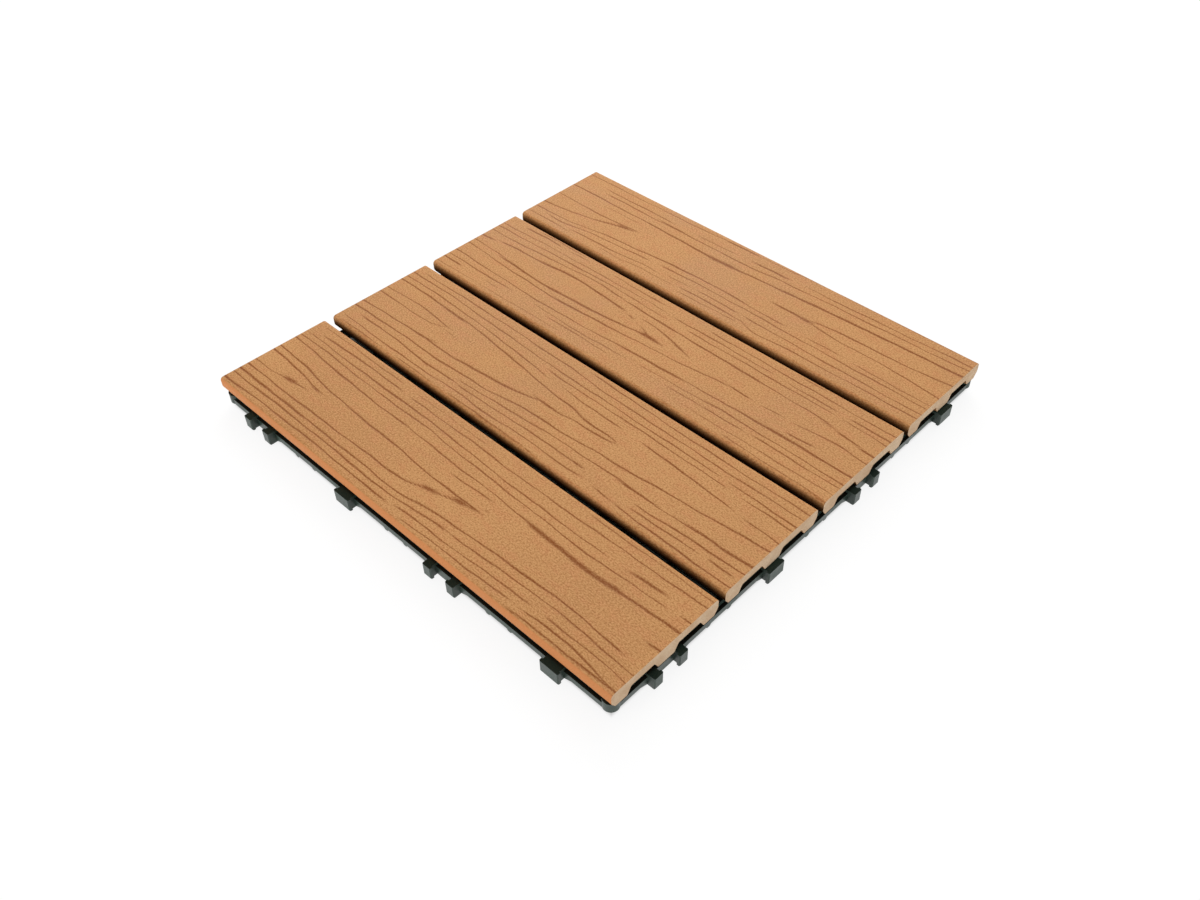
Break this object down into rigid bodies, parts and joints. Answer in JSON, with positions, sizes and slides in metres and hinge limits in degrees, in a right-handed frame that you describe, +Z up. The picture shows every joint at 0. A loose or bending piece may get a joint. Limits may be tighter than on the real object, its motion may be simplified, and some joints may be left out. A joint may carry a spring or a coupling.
{
  "type": "interlocking deck tile",
  "caption": "Square deck tile of grooved wood-grain boards screwed to a moulded plastic grid with tongues and sockets round its edge.",
  "frame": {"origin": "centre of the tile's outline on the plane that the feet stand on", "axes": "+X along the slats, +Y across them, +Z up from the ground"},
  "size_m": [0.3068, 0.3068, 0.02],
  "materials": {
    "grid_plastic": "semi-gloss moulded polypropylene, very dark green-black",
    "slat_composite": "matt wood-plastic composite with an embossed brown grain, ends sawn and paler",
    "screw_steel": "zinc-plated"
  },
  "bodies": {
    "root": {"base_grid": "grid_plastic", "slat_1": "slat_composite", "slat_2": "slat_composite", "slat_3": "slat_composite", "slat_4": "slat_composite", "screws": "screw_steel"}
  },
  "joints": []
}
